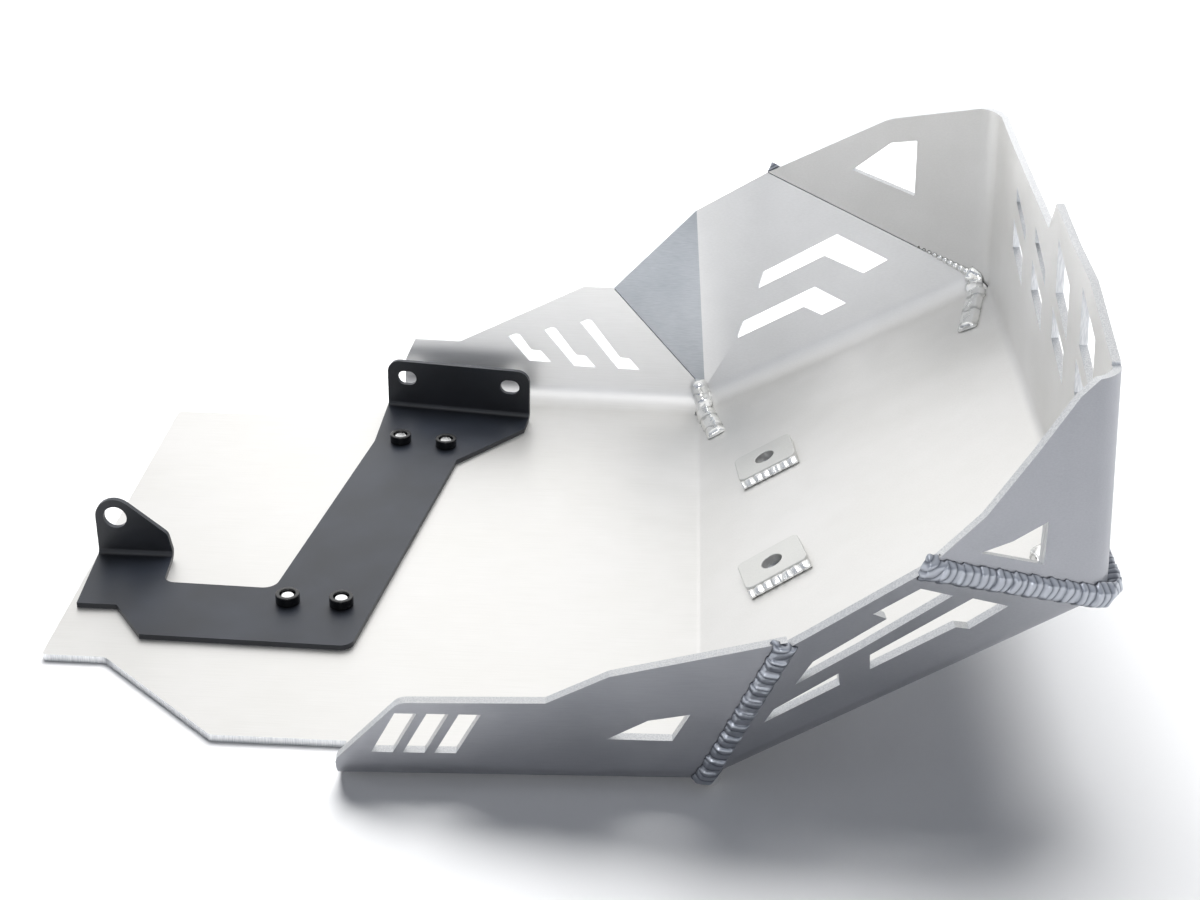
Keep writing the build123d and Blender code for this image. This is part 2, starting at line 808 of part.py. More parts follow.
os.makedirs("parts", exist_ok=True)
for name, piece in pieces.items():
    piece.part.label = name
    export_step(piece.part, "parts/" + name + ".step")
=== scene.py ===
import math

import bmesh
import bpy
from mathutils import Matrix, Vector, noise
from mathutils.bvhtree import BVHTree


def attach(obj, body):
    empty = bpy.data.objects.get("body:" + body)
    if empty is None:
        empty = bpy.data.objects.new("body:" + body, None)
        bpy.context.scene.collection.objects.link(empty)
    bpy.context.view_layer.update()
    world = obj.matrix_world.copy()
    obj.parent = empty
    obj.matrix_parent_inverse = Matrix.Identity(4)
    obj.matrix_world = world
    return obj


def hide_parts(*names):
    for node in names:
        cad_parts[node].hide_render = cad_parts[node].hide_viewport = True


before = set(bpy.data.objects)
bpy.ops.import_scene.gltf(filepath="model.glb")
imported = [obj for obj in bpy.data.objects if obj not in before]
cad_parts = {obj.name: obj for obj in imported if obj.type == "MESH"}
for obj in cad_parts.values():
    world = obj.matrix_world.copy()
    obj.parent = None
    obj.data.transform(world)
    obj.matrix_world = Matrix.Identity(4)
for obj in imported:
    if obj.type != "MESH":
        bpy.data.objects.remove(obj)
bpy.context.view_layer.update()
print("frame loaded, nodes:", len(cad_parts))

mm = 0.001
mergeGap = 0.002 * mm  # closer corners of the CAD's loose triangles are one corner


def selectNothing():
    if bpy.context.mode != "OBJECT":
        bpy.ops.object.mode_set(mode="OBJECT")
    bpy.ops.object.select_all(action="DESELECT")


def makeActive(piece):
    selectNothing()
    piece.select_set(True)
    bpy.context.view_layer.objects.active = piece


def applyModifier(piece, kind, **settings):
    makeActive(piece)
    modifier = piece.modifiers.new(kind.lower(), kind)
    for key, value in settings.items():
        setattr(modifier, key, value)
    bpy.ops.object.modifier_apply(modifier=modifier.name)


def copyNode(nodeName, pieceName):
    # a merged copy of a CAD node that then stands for it
    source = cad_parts[nodeName]
    piece = source.copy()
    piece.data = source.data.copy()
    for key in list(piece.keys()):
        del piece[key]
    piece.parent = None
    piece.name = pieceName
    piece.data.name = pieceName
    bpy.context.scene.collection.objects.link(piece)
    piece.data.materials.clear()
    makeActive(piece)
    bpy.ops.object.mode_set(mode="EDIT")
    bpy.ops.mesh.select_all(action="SELECT")
    bpy.ops.mesh.remove_doubles(threshold=mergeGap)
    bpy.ops.mesh.customdata_custom_splitnormals_clear()
    bpy.ops.object.mode_set(mode="OBJECT")
    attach(piece, "root")
    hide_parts(nodeName)
    return piece


def flattenFaces(piece, angle):
    # loose triangles become whole flat faces, so that a bevel runs clean
    makeActive(piece)
    bpy.ops.object.mode_set(mode="EDIT")
    bpy.ops.mesh.select_all(action="SELECT")
    bpy.ops.mesh.dissolve_limited(angle_limit=math.radians(angle))
    bpy.ops.object.mode_set(mode="OBJECT")


def smoothByAngle(piece, angle):
    makeActive(piece)
    bpy.ops.object.shade_smooth_by_angle(angle=math.radians(angle))


def softEdges(piece, width, segments, angle, material=-1):
    # the small rounding of a deburred edge; its faces take the given material number
    applyModifier(
        piece,
        "BEVEL",
        width=width * mm,
        segments=segments,
        limit_method="ANGLE",
        angle_limit=math.radians(angle),
        use_clamp_overlap=True,
        material=material,
        miter_outer="MITER_ARC",
    )


def flatNormals(piece):
    # big flat faces keep their own normals, so that bevels don't shade across them
    applyModifier(piece, "WEIGHTED_NORMAL", mode="FACE_AREA", weight=100, keep_sharp=True)


def addBlob(place, radius):
    # a round drop of filler metal, placed and sized in millimetres
    selectNothing()
    bpy.ops.mesh.primitive_ico_sphere_add(subdivisions=3, radius=radius * mm, location=place * mm)
    return bpy.context.object


def joinInto(piece, others):
    makeActive(piece)
    for other in others:
        other.select_set(True)
    bpy.ops.object.join()


def hexColour(text):
    # sRGB hex to linear
    values = [int(text[i : i + 2], 16) / 255 for i in (1, 3, 5)]
    return tuple(v / 12.92 if v <= 0.04045 else ((v + 0.055) / 1.055) ** 2.4 for v in values) + (1.0,)


def addNode(tree, kind, settings=None, links=None):
    # settings go to sockets or properties by name, links feed sockets from other nodes' outputs;
    # stops are a colour ramp's positions in rising order, each with its hex colour
    node = tree.nodes.new(kind)
    for key, value in (settings or {}).items():
        if key == "stops":
            while len(node.color_ramp.elements) < len(value):
                node.color_ramp.elements.new(1.0)
            for element, (position, colour) in zip(node.color_ramp.elements, value):
                element.position = position
                element.color = hexColour(colour)
        elif isinstance(key, int) or key in node.inputs:
            node.inputs[key].default_value = value
        else:
            setattr(node, key, value)
    for key, output in (links or {}).items():
        tree.links.new(output, node.inputs[key])
    return node


def startMaterial(name):
    material = bpy.data.materials.new(name)
    material.use_nodes = True
    tree = material.node_tree
    tree.nodes.clear()
    coords = addNode(tree, "ShaderNodeTexCoord")
    return material, tree, coords.outputs["Object"]


def finishMaterial(material, tree, settings, links):
    shader = addNode(tree, "ShaderNodeBsdfPrincipled", settings, links)
    addNode(tree, "ShaderNodeOutputMaterial", None, {"Surface": shader.outputs["BSDF"]})
    return material


def grainNoise(tree, place, size, detail, stretch=(1.0, 1.0, 1.0), turn=(0.0, 0.0, 0.0)):
    # noise whose features are about `size` millimetres, drawn out by `stretch` along each axis
    mapping = addNode(
        tree,
        "ShaderNodeMapping",
        {"Scale": tuple(1.0 / s for s in stretch), "Rotation": turn},
        {"Vector": place},
    )
    grain = addNode(
        tree,
        "ShaderNodeTexNoise",
        {"Scale": 1.0 / (size * mm), "Detail": detail, "Roughness": 0.55},
        {"Vector": mapping.outputs["Vector"]},
    )
    return grain.outputs["Fac"]


# sizes in millimetres; the real grain is finer than 0.1 mm and is drawn coarser, so that it shows
rollGrain = {
    "size": 0.5,
    "length": 60.0,
    "cloud": 70.0,
    "grainShare": 0.35,
    "contrast": (0.35, 0.65),
    "smoother": 0.04,
    "rougher": 0.05,
    "bump": 0.12,
    "bumpDepth": 0.02,
}


def rolledAluminium(name, look, turn=(0.0, 0.0, 0.0)):
    # mill-rolled aluminium sheet: rolls leave a fine straight grain, so reflections are soft and drawn out;
    # brushed sheet and milled plate have the same kind of lines
    material, tree, place = startMaterial(name)
    drawn = (rollGrain["length"], 1.0, 1.0)
    grain = grainNoise(tree, place, rollGrain["size"], detail=2.0, stretch=drawn, turn=turn)
    cloud = grainNoise(tree, place, rollGrain["cloud"], detail=3.0)
    both = addNode(
        tree,
        "ShaderNodeMix",
        {"data_type": "FLOAT", "Factor": rollGrain["grainShare"]},
        {"A": cloud, "B": grain},
    )
    start, end = rollGrain["contrast"]
    colour = addNode(
        tree,
        "ShaderNodeValToRGB",
        {"stops": ((start, look["low"]), (end, look["high"]))},
        {"Fac": both.outputs["Result"]},
    )
    rough = addNode(
        tree,
        "ShaderNodeMapRange",
        {
            "From Min": start,
            "From Max": end,
            "To Min": look["roughness"] - rollGrain["smoother"],
            "To Max": look["roughness"] + rollGrain["rougher"],
        },
        {"Value": both.outputs["Result"]},
    )
    bump = addNode(
        tree,
        "ShaderNodeBump",
        {"Strength": rollGrain["bump"], "Distance": rollGrain["bumpDepth"] * mm},
        {"Height": grain},
    )
    return finishMaterial(
        material,
        tree,
        {"Metallic": 1.0},
        {
            "Base Color": colour.outputs["Color"],
            "Roughness": rough.outputs["Result"],
            "Normal": bump.outputs["Normal"],
        },
    )


def laserEdge(name, look):
    # laser-cut edge: the beam leaves bright fine lines across the thickness, drawn coarser than they are
    material, tree, place = startMaterial(name)
    drawn = (1.0, 1.0, look["lineLength"])
    lines = grainNoise(tree, place, look["lineWidth"], detail=1.0, stretch=drawn)
    start, end = look["contrast"]
    colour = addNode(
        tree, "ShaderNodeValToRGB", {"stops": ((start, look["low"]), (end, look["high"]))}, {"Fac": lines}
    )
    bump = addNode(
        tree,
        "ShaderNodeBump",
        {"Strength": look["bump"], "Distance": look["bumpDepth"] * mm},
        {"Height": lines},
    )
    return finishMaterial(
        material,
        tree,
        {"Metallic": 1.0, "Roughness": look["roughness"]},
        {"Base Color": colour.outputs["Color"], "Normal": bump.outputs["Normal"]},
    )


# sizes in millimetres; the rest are shares of the crown and toe marks, where the tones (painted highlight
# and painted shade) and the toe darkening change
weldSkin = {
    "toneAt": {"crease": 0.1, "body": 0.5, "crown": 0.9},
    "toeDarkSize": 2.5,
    "toeDarkWander": 0.5,
    "toeDarkEdge": (0.15, 0.6),
    "dullBetween": (0.2, 0.7),
    "creaseDulling": 0.15,
    "frostSize": 0.5,
    "frostBump": 0.2,
    "frostDepth": 0.08,
}


def weldedAluminium(name, look):
    # filler metal frozen in ripples: bright crowns of painted highlight, dull creases dark with painted
    # shade and a darker toe
    material, tree, place = startMaterial(name)
    crown = addNode(tree, "ShaderNodeAttribute", {"attribute_name": "crown"}).outputs["Fac"]
    toe = addNode(tree, "ShaderNodeAttribute", {"attribute_name": "toe"}).outputs["Fac"]
    # the crown mark gives painted highlight on ripple tops and painted shade in the creases
    metal = addNode(
        tree,
        "ShaderNodeValToRGB",
        {"stops": [(at, look[tone]) for tone, at in weldSkin["toneAt"].items()]},
        {"Fac": crown},
    )
    # the toe colour darkens the bead where it meets the sheet, with a wandering edge
    wander = addNode(
        tree,
        "ShaderNodeMath",
        {"operation": "MULTIPLY_ADD", 1: weldSkin["toeDarkWander"], 2: -weldSkin["toeDarkWander"] / 2},
        {0: grainNoise(tree, place, weldSkin["toeDarkSize"], detail=3.0)},
    )
    border = addNode(tree, "ShaderNodeMath", {"operation": "ADD"}, {0: toe, 1: wander.outputs["Value"]})
    pastToe = addNode(
        tree,
        "ShaderNodeMapRange",
        {"From Min": weldSkin["toeDarkEdge"][0], "From Max": weldSkin["toeDarkEdge"][1]},
        {"Value": border.outputs["Value"]},
    )
    # sockets 6 and 7 are the mix node's two colours, output 2 is the colour between them
    colour = addNode(
        tree,
        "ShaderNodeMix",
        {"data_type": "RGBA", 6: hexColour(look["toe"])},
        {"Factor": pastToe.outputs["Result"], 7: metal.outputs["Color"]},
    )
    rough = addNode(
        tree,
        "ShaderNodeMapRange",
        {
            "From Min": weldSkin["dullBetween"][0],
            "From Max": weldSkin["dullBetween"][1],
            "To Min": look["roughness"] + weldSkin["creaseDulling"],
            "To Max": look["roughness"],
        },
        {"Value": crown},
    )
    bump = addNode(
        tree,
        "ShaderNodeBump",
        {"Strength": weldSkin["frostBump"], "Distance": weldSkin["frostDepth"] * mm},
        {"Height": grainNoise(tree, place, weldSkin["frostSize"], detail=2.0)},
    )
    return finishMaterial(
        material,
        tree,
        {"Metallic": 1.0},
        {
            "Base Color": colour.outputs[2],
            "Roughness": rough.outputs["Result"],
            "Normal": bump.outputs["Normal"],
        },
    )


# sizes in millimetres
coatSkin = {"peel": 1.2, "cloud": 30.0, "contrast": (0.3, 0.7), "bump": 0.12, "bumpDepth": 0.05}


def blackCoat(name, look):
    # black coat on steel: baked polyester powder has a low sheen with a faint orange peel, and the
    # collars' oiled black oxide is the same coat with more shine
    material, tree, place = startMaterial(name)
    peel = grainNoise(tree, place, coatSkin["peel"], detail=1.0)
    cloud = grainNoise(tree, place, coatSkin["cloud"], detail=2.0)
    start, end = coatSkin["contrast"]
    colour = addNode(
        tree, "ShaderNodeValToRGB", {"stops": ((start, look["low"]), (end, look["high"]))}, {"Fac": cloud}
    )
    bump = addNode(
        tree,
        "ShaderNodeBump",
        {"Strength": coatSkin["bump"], "Distance": coatSkin["bumpDepth"] * mm},
        {"Height": peel},
    )
    return finishMaterial(
        material,
        tree,
        {"Metallic": 0.0, "IOR": 1.5, "Roughness": look["roughness"]},
        {"Base Color": colour.outputs["Color"], "Normal": bump.outputs["Normal"]},
    )


# size in millimetres
zincSkin = {"mottle": 1.0, "contrast": (0.35, 0.65), "smoother": 0.04, "rougher": 0.06}


def zincPlate(name, look):
    # zinc-plated turned steel: bright, with a faint mottle from the plating bath
    material, tree, place = startMaterial(name)
    mottle = grainNoise(tree, place, zincSkin["mottle"], detail=2.0)
    start, end = zincSkin["contrast"]
    colour = addNode(
        tree, "ShaderNodeValToRGB", {"stops": ((start, look["low"]), (end, look["high"]))}, {"Fac": mottle}
    )
    rough = addNode(
        tree,
        "ShaderNodeMapRange",
        {
            "From Min": start,
            "From Max": end,
            "To Min": look["roughness"] - zincSkin["smoother"],
            "To Max": look["roughness"] + zincSkin["rougher"],
        },
        {"Value": mottle},
    )
    return finishMaterial(
        material,
        tree,
        {"Metallic": 1.0},
        {"Base Color": colour.outputs["Color"], "Roughness": rough.outputs["Result"]},
    )


# millimetres and degrees; low and high are the ends of a finish's mottle, the facet's grain is turned by
# hand brushing, and a region under smallRegion square millimetres is a cut edge
trayLook = {
    # inside and outside are one sheet in two tones: pale inside as lit, and the outside darker as painted
    # shade
    "inside": {"low": "#e6e5e2", "high": "#f1f0ee", "roughness": 0.5},
    "outside": {"low": "#a0a2a7", "high": "#afb0b5", "roughness": 0.46},
    "edge": {
        "low": "#cdcfd2",
        "high": "#e6e7e8",
        "roughness": 0.34,
        "lineWidth": 0.6,
        "lineLength": 12.0,
        "contrast": (0.35, 0.7),
        "bump": 0.25,
        "bumpDepth": 0.04,
    },
    # the facet's turned grain is hand brushing; its darker tone is painted shade
    "facet": {"low": "#a4a8ac", "high": "#c3c6c9", "roughness": 0.42},
    "facetGrainTurn": (0.0, 0.9, 0.0),
    "facetNormal": {"leastX": 0.04, "mostY": -0.9},
    "edgeSoftening": 0.3,
    "foldAngle": 40.0,
    "smoothAngle": 30.0,
    "smallRegion": 6000.0,
    "middle": (100.0, 0.0, 150.0),
}
trayFinishes = {
    "inside": rolledAluminium("rolled_aluminium_inside", trayLook["inside"]),
    "outside": rolledAluminium("rolled_aluminium_outside_painted_shade", trayLook["outside"]),
    "edge": laserEdge("laser_cut_aluminium_edge", trayLook["edge"]),
    "facet": rolledAluminium("hand_brushed_aluminium_facet_painted_shade", trayLook["facet"], trayLook["facetGrainTurn"]),
}
finishNumber = {finish: number for number, finish in enumerate(trayFinishes)}


def growRegion(first, number, region):
    # marks the faces joined to the first one by gentle folds; gives their area and if they face inward
    limit = math.radians(trayLook["foldAngle"])
    middle = Vector(trayLook["middle"]) * mm
    area = 0.0
    facing = 0.0
    region[first.index] = number
    todo = [first]
    while todo:
        face = todo.pop()
        size = face.calc_area()
        area += size
        facing += size * face.normal.dot((middle - face.calc_center_median()).normalized())
        for edge in face.edges:
            if len(edge.link_faces) != 2 or edge.calc_face_angle(0.0) > limit:
                continue
            for other in edge.link_faces:
                if region[other.index] < 0:
                    region[other.index] = number
                    todo.append(other)
    return area, facing > 0


def sortSheetFaces(tray):
    # the big regions are the sheet's skins, the outside one drawn darker as painted shade; the corner facet
    # is where the inside looks to the near side and a little forward, and its darker tone is painted shade
    # too
    mesh = bmesh.new()
    mesh.from_mesh(tray.data)
    region = [-1] * len(mesh.faces)
    found = []
    for face in mesh.faces:
        if region[face.index] < 0:
            found.append(growRegion(face, len(found), region))
    turned = trayLook["facetNormal"]
    for face in mesh.faces:
        area, inward = found[region[face.index]]
        if area < trayLook["smallRegion"] * mm * mm:
            finish = "edge"
        elif not inward:
            finish = "outside"
        elif face.normal.x > turned["leastX"] and face.normal.y < turned["mostY"]:
            finish = "facet"
        else:
            finish = "inside"
        face.material_index = finishNumber[finish]
    mesh.to_mesh(tray.data)
    mesh.free()


def buildTray():
    tray = copyNode("skid_plate", "tray_sheet")
    for material in trayFinishes.values():
        tray.data.materials.append(material)
    sortSheetFaces(tray)
    softEdges(tray, trayLook["edgeSoftening"], 1, trayLook["foldAngle"], finishNumber["edge"])
    smoothByAngle(tray, trayLook["smoothAngle"])
    flatNormals(tray)
    return tray


tray = buildTray()
trayTree = BVHTree.FromObject(tray, bpy.context.evaluated_depsgraph_get())
print("tray made, faces:", len(tray.data.polygons))

# outer beads have close crescents, pad beads fewer and fuller ones, corner beads soft lumps; in
# millimetres, swell fattens the bead, pitch is from ripple to ripple and bow is a crescent's bend
# in each look, crease is painted shade, crown is painted highlight and toe is the darker foot
outerBead = {
    "crease": "#686c74",
    "body": "#989ca4",
    "crown": "#b0b4bc",
    "toe": "#4c4d52",
    "roughness": 0.32,
    "voxel": 0.5,
    "smoothSteps": 24,
    "swell": 0.4,
    "pitch": 4.2,
    "depth": 0.4,
    "bow": 2.4,
    "halfWidth": 6.5,
    "lump": 0.3,
    "lumpSize": 3.5,
}
padBead = {
    "crease": "#d0d0ce",
    "body": "#efefed",
    "crown": "#f8f8f6",
    "toe": "#6a6a64",
    "roughness": 0.2,
    "voxel": 0.35,
    "smoothSteps": 10,
    "swell": 0.2,
    "pitch": 5.6,
    "depth": 0.32,
    "bow": 1.6,
    "halfWidth": 4.0,
    "lump": 0.3,
    "lumpSize": 3.0,
}
cornerBead = {
    "crease": "#c2c2c0",
    "body": "#f2f2f0",
    "crown": "#f8f8f6",
    "toe": "#5a5a54",
    "roughness": 0.12,
    "voxel": 0.5,
    "smoothSteps": 40,
    "swell": 1.2,
    "pitch": 17.0,
    "depth": 0.25,
    "bow": 3.0,
    "halfWidth": 6.5,
    "lump": 1.1,
    "lumpSize": 9.0,
}
# what all beads share, in millimetres and degrees: a ripple rises where its wave is over rest, and floor
# keeps a swollen root inside the sheet's thickness
meltShape = {
    "spineStep": 8.0,
    "wobble": 0.25,
    "wobbleSize": 6.0,
    "fullness": 0.7,
    "rest": 0.6,
    "toeReach": 1.2,
    "floor": 0.4,
    "smoothAngle": 80.0,
}
# millimetres, on the far side: the filler's first blobs close the relief hole at the foot of a rear seam;
# side is +1 where a corner is on the far side and -1 on the near side
reliefFill = {
    "top": (168.5, 201.5, 18.0),
    "foot": (173.0, 198.5, 6.0),
    "radius": 5.0,
    "count": 4,
    "side": {"near_rear": -1, "far_rear": 1},
}
# one filler metal in three tones: dark grey on the outer seams as painted shade, near white on the pads and
# corners as painted light
outerBeadMetal = weldedAluminium("welded_aluminium_bead_painted_shade", outerBead)
padBeadMetal = weldedAluminium("aluminium_pad_bead_painted_light", padBead)
cornerBeadMetal = weldedAluminium("fused_aluminium_corner_painted_light", cornerBead)


def fillRelief(bead, side):
    top = Vector(reliefFill["top"])
    foot = Vector(reliefFill["foot"])
    blobs = []
    for i in range(reliefFill["count"]):
        place = top.lerp(foot, i / (reliefFill["count"] - 1))
        place.y *= side
        blobs.append(addBlob(place, reliefFill["radius"]))
    joinInto(bead, blobs)


def addLumps(piece, size, strength):
    cloud = bpy.data.textures.new(piece.name + "_lumps", "CLOUDS")
    cloud.noise_scale = size * mm
    applyModifier(
        piece,
        "DISPLACE",
        texture=cloud,
        texture_coords="LOCAL",
        strength=strength * mm,
        mid_level=0.5,
    )


def beadSpine(places, start, step):
    # the bead's middle line, from its top end on: one point for each step of distance
    rings = {}
    for place in places:
        rings.setdefault(int((place - start).length / step), []).append(place)
    return [sum(rings[number], Vector()) / len(rings[number]) for number in sorted(rings)]


def alongSpine(spine, lengths, place, first):
    # how far along the spine a point lies, and how far off it
    best = None
    for i in range(max(0, first - 2), min(len(spine) - 1, first + 2)):
        run = spine[i + 1] - spine[i]
        share = (place - spine[i]).dot(run) / run.length_squared
        if 0 < i < len(spine) - 2:
            share = min(1.0, max(0.0, share))
        aside = (place - spine[i] - run * share).length
        if best is None or aside < best[1]:
            best = (lengths[i] + share * run.length, aside)
    return best


def addMeltMarks(bead):
    # crown is 1 on a ripple's top and 0 in its crease, toe is 0 at the sheet and 1 clear of it; crown
    # drives the painted highlight and painted shade, toe the darker foot
    for name in ("crown", "toe"):
        bead.data.attributes.new(name, "FLOAT", "POINT")
    return bead.data.attributes["crown"].data, bead.data.attributes["toe"].data


def clearOfSheet(place, reach):
    # 0 on the sheet, 1 from `reach` millimetres away
    return min(1.0, trayTree.find_nearest(place)[3] / (reach * mm))


def rippleBead(bead, form):
    # each ripple is a crescent with a sharp crease behind it; its crown mark paints a highlight on top and
    # shade in the crease
    places = [vertex.co.copy() for vertex in bead.data.vertices]
    normals = [vertex.normal.copy() for vertex in bead.data.vertices]
    start = max(places, key=lambda place: place.z)
    step = meltShape["spineStep"] * mm
    spine = beadSpine(places, start, step)
    lengths = [0.0]
    for i in range(len(spine) - 1):
        lengths.append(lengths[-1] + (spine[i + 1] - spine[i]).length)
    crown, toe = addMeltMarks(bead)
    for i, place in enumerate(places):
        along, aside = alongSpine(spine, lengths, place, int((place - start).length / step))
        bow = form["bow"] * (aside / mm / form["halfWidth"]) ** 2
        wobble = meltShape["wobble"] * noise.noise(place / (meltShape["wobbleSize"] * mm))
        turns = (along / mm + bow) / form["pitch"] + wobble
        wave = abs(math.cos(math.pi * turns)) ** meltShape["fullness"]
        free = clearOfSheet(place, meltShape["toeReach"])
        rise = (wave - meltShape["rest"]) * form["depth"] * free * mm
        bead.data.vertices[i].co = place + normals[i] * rise
        crown[i].value = wave
        toe[i].value = free


def buildBead(nodeName, pieceName, form, material, fillSide=0):
    bead = copyNode(nodeName, pieceName)
    if fillSide:
        fillRelief(bead, fillSide)
    applyModifier(bead, "REMESH", mode="VOXEL", voxel_size=form["voxel"] * mm)
    applyModifier(bead, "SMOOTH", factor=0.5, iterations=form["smoothSteps"])
    applyModifier(bead, "DISPLACE", strength=form["swell"] * mm, mid_level=0.0)
    addLumps(bead, form["lumpSize"], form["lump"])
    rippleBead(bead, form)
    for vertex in bead.data.vertices:
        vertex.co.z = max(vertex.co.z, meltShape["floor"] * mm)
    bead.data.materials.clear()
    bead.data.materials.append(material)
    smoothByAngle(bead, meltShape["smoothAngle"])
    print(pieceName, "made, faces:", len(bead.data.polygons))


for end in ("near_rear", "near_front", "far_rear", "far_front"):
    buildBead("weld_" + end, "bead_" + end, outerBead, outerBeadMetal)
    fillSide = reliefFill["side"].get(end, 0)
    buildBead(
        "corner_weld_" + end, "corner_bead_" + end, cornerBead, cornerBeadMetal, fillSide
    )
for side in ("near", "far"):
    buildBead("pad_weld_" + side, "pad_bead_" + side, padBead, padBeadMetal)

# millimetres; the thin bead runs up the inner seam from the far front corner, and its radius tapers from
# wide to narrow
seamBead = {
    "corner": (344.3, 186.0, 105.5),
    "away": (-136.3, 57.0, 51.5),
    "start": 7.0,
    "end": 51.0,
    "step": 3.7,
    "wide": 3.1,
    "narrow": 1.7,
    "voxel": 0.3,
    "smoothSteps": 2,
    "toeReach": 0.8,
}


def markSeamBead(bead, corner, away):
    # painted highlight on each blob, painted shade between two of them, and a darker toe
    crown, toe = addMeltMarks(bead)
    for i, vertex in enumerate(bead.data.vertices):
        along = (vertex.co / mm - corner).dot(away) - seamBead["start"]
        crown[i].value = abs(math.cos(math.pi * along / seamBead["step"]))
        toe[i].value = clearOfSheet(vertex.co, seamBead["toeReach"])


def buildSeamBead():
    # one blob of filler for each ripple, melted together
    corner = Vector(seamBead["corner"])
    away = Vector(seamBead["away"]).normalized()
    count = int((seamBead["end"] - seamBead["start"]) / seamBead["step"]) + 1
    blobs = []
    for i in range(count):
        share = i / (count - 1)
        radius = seamBead["wide"] * (1 - share) + seamBead["narrow"] * share
        blobs.append(addBlob(corner + away * (seamBead["start"] + i * seamBead["step"]), radius))
    bead = blobs[0]
    joinInto(bead, blobs[1:])
    bead.name = "seam_bead_far_front"
    bpy.ops.object.transform_apply(location=True, rotation=True, scale=True)
    applyModifier(bead, "REMESH", mode="VOXEL", voxel_size=seamBead["voxel"] * mm)
    applyModifier(bead, "SMOOTH", factor=0.5, iterations=seamBead["smoothSteps"])
    bead.data.materials.append(padBeadMetal)
    markSeamBead(bead, corner, away)
    smoothByAngle(bead, meltShape["smoothAngle"])
    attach(bead, "root")


buildSeamBead()
print("seam bead made")

# edge is the width of the softened edges in millimetres
padLook = {"low": "#d6d6d3", "high": "#e6e6e3", "roughness": 0.48, "edge": 0.5, "segments": 3}
bracketLook = {"low": "#1b1e24", "high": "#242830", "roughness": 0.42, "edge": 0.35, "segments": 2}
collarLook = {"low": "#0a0a0b", "high": "#101012", "roughness": 0.2, "edge": 0.5, "segments": 3}
screwLook = {"low": "#d8d9da", "high": "#f0f0ef", "roughness": 0.16, "edge": 1.1, "segments": 4}
fittingAngles = {"flat": 0.6, "edge": 35.0}  # degrees
padMetal = rolledAluminium("milled_aluminium_pad", padLook)
bracketBlack = blackCoat("powder_coated_steel_black", bracketLook)
collarBlack = blackCoat("black_oxide_steel_collar", collarLook)
screwZinc = zincPlate("zinc_plated_steel_screw", screwLook)


def buildFitting(nodeName, pieceName, material, look):
    piece = copyNode(nodeName, pieceName)
    flattenFaces(piece, fittingAngles["flat"])
    piece.data.materials.append(material)
    softEdges(piece, look["edge"], look["segments"], fittingAngles["edge"])
    smoothByAngle(piece, fittingAngles["edge"])
    flatNormals(piece)


for side in ("near", "far"):
    buildFitting("pad_" + side, "welded_pad_" + side, padMetal, padLook)
buildFitting("rear_bracket", "bracket_plate", bracketBlack, bracketLook)
for end in ("near_rear", "near_front", "far_rear", "far_front"):
    buildFitting("collar_" + end, "collar_nut_" + end, collarBlack, collarLook)
    buildFitting("screw_" + end, "flush_screw_" + end, screwZinc, screwLook)
print("pads, bracket, collars and screws made")

# metres; lift is the paper's own faint glow, and fade is from where it grows to where it is plain white
floorLook = {
    "size": 12.0,
    "colour": "#ececec",
    "lift": 0.06,
    "fade": (0.9, 3.0),
    "drop": -0.0003,
}
# each tone is a tint and a strength; the room brightens along lean, between the two ends of range
roomLook = {
    "back": ("#ffffff", 0.97),
    "front": ("#d3dae8", 0.5),
    "dim": ("#cdd7ea", 0.15),
    "lean": (0.0, 1.0, 1.0),
    "range": (-0.6, 1.2),
}
# metres and watts; the cards show only as reflections, and the softbox never does
softLights = {
    "key_softbox": {"place": (0.0, 1.6, 2.35), "size": 2.9, "power": 190.0, "reflected": False},
    "front_card": {"place": (0.2, -3.2, 0.2), "size": 1.5, "power": 25.0, "reflected": True},
    "back_card": {"place": (0.0, 1.25, 0.55), "size": 1.2, "power": 2.3, "reflected": True},
    "top_card": {"place": (0.1, -1.3, 2.2), "size": 1.2, "power": 9.0, "reflected": True},
}
lightAim = (0.05, 0.0, 0.05)  # near the tray's middle


def buildFloor():
    # matt paper that keeps the shadow
    selectNothing()
    bpy.ops.mesh.primitive_plane_add(size=floorLook["size"], location=(0, 0, floorLook["drop"]))
    floor = bpy.context.object
    floor.name = "floor"
    material, tree, place = startMaterial("matt_paper_floor")
    path = addNode(tree, "ShaderNodeLightPath")
    seen = addNode(
        tree,
        "ShaderNodeMath",
        {"operation": "MAXIMUM"},
        {0: path.outputs["Is Camera Ray"], 1: path.outputs["Is Glossy Ray"]},
    )
    distance = addNode(tree, "ShaderNodeVectorMath", {"operation": "LENGTH"}, {0: place})
    fade = addNode(
        tree,
        "ShaderNodeMapRange",
        {"From Min": floorLook["fade"][0], "From Max": floorLook["fade"][1], "To Min": floorLook["lift"]},
        {"Value": distance.outputs["Value"]},
    )
    lift = addNode(
        tree,
        "ShaderNodeMath",
        {"operation": "MULTIPLY"},
        {0: seen.outputs["Value"], 1: fade.outputs["Result"]},
    )
    paper = addNode(tree, "ShaderNodeBsdfDiffuse", {"Color": hexColour(floorLook["colour"])})
    glow = addNode(
        tree, "ShaderNodeEmission", {"Color": (1, 1, 1, 1)}, {"Strength": lift.outputs["Value"]}
    )
    both = addNode(tree, "ShaderNodeAddShader", None, {0: paper.outputs[0], 1: glow.outputs[0]})
    addNode(tree, "ShaderNodeOutputMaterial", None, {"Surface": both.outputs[0]})
    floor.data.materials.append(material)


def addSoftLight(name, place, size, power, reflected):
    bpy.ops.object.light_add(type="AREA", location=place)
    lamp = bpy.context.object
    lamp.name = name
    lamp.data.shape = "DISK"
    lamp.data.size = size
    lamp.data.energy = power
    lamp.visible_glossy = reflected
    lamp.visible_diffuse = not reflected
    lamp.visible_camera = False
    aim = Vector(lightAim) - Vector(place)
    lamp.rotation_euler = aim.to_track_quat("-Z", "Y").to_euler()


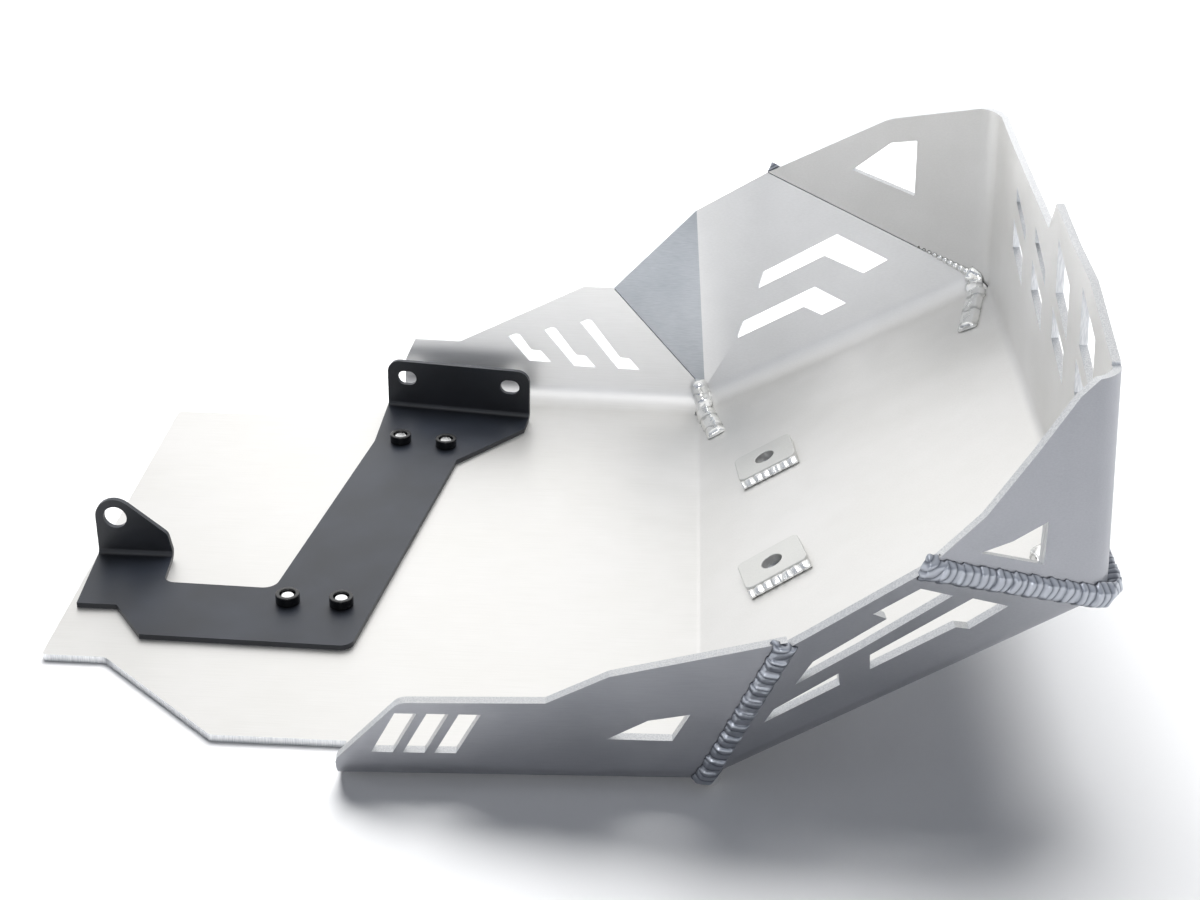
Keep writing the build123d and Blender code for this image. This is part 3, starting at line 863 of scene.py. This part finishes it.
def buildWorld():
    # a pale studio room: plain white to the camera, dim to the paper, and to the metal a tone that
    # brightens from the low front to the high back
    world = bpy.data.worlds.new("studio_room")
    bpy.context.scene.world = world
    world.use_nodes = True
    tree = world.node_tree
    tree.nodes.clear()
    path = addNode(tree, "ShaderNodeLightPath")
    direction = addNode(tree, "ShaderNodeTexCoord").outputs["Generated"]
    lean = addNode(
        tree, "ShaderNodeVectorMath", {"operation": "DOT_PRODUCT", 1: roomLook["lean"]}, {0: direction}
    )
    share = addNode(
        tree,
        "ShaderNodeMapRange",
        {"From Min": roomLook["range"][0], "From Max": roomLook["range"][1]},
        {"Value": lean.outputs["Value"]},
    ).outputs["Result"]
    tint = addNode(
        tree,
        "ShaderNodeValToRGB",
        {"stops": ((0.0, roomLook["front"][0]), (1.0, roomLook["back"][0]))},
        {"Fac": share},
    )
    level = addNode(
        tree,
        "ShaderNodeMapRange",
        {"To Min": roomLook["front"][1], "To Max": roomLook["back"][1]},
        {"Value": share},
    )
    room = addNode(
        tree,
        "ShaderNodeBackground",
        None,
        {"Color": tint.outputs["Color"], "Strength": level.outputs["Result"]},
    )
    dim = addNode(
        tree,
        "ShaderNodeBackground",
        {"Color": hexColour(roomLook["dim"][0]), "Strength": roomLook["dim"][1]},
    )
    white = addNode(tree, "ShaderNodeBackground", {"Color": (1, 1, 1, 1), "Strength": 1.0})
    glossy = addNode(
        tree,
        "ShaderNodeMixShader",
        None,
        {0: path.outputs["Is Glossy Ray"], 1: dim.outputs[0], 2: room.outputs[0]},
    )
    camera = addNode(
        tree,
        "ShaderNodeMixShader",
        None,
        {0: path.outputs["Is Camera Ray"], 1: glossy.outputs[0], 2: white.outputs[0]},
    )
    addNode(tree, "ShaderNodeOutputWorld", None, {"Surface": camera.outputs[0]})


# millimetres and degrees
viewPoint = {
    "place": (143.7, -905.7, 537.8),
    "turn": (62.80, -1.19, 2.66),
    "lens": 55.68,
    "sensor": 36.0,
    "clipStart": 10.0,
}


def buildCamera():
    bpy.ops.object.camera_add(location=[v * mm for v in viewPoint["place"]])
    camera = bpy.context.object
    camera.rotation_euler = [math.radians(v) for v in viewPoint["turn"]]
    camera.data.lens = viewPoint["lens"]
    camera.data.sensor_width = viewPoint["sensor"]
    camera.data.sensor_fit = "HORIZONTAL"
    camera.data.clip_start = viewPoint["clipStart"] * mm
    bpy.context.scene.camera = camera


buildFloor()
for name, light in softLights.items():
    addSoftLight(name, **light)
buildWorld()
buildCamera()
bpy.context.scene.view_settings.view_transform = "Standard"
print("studio made")
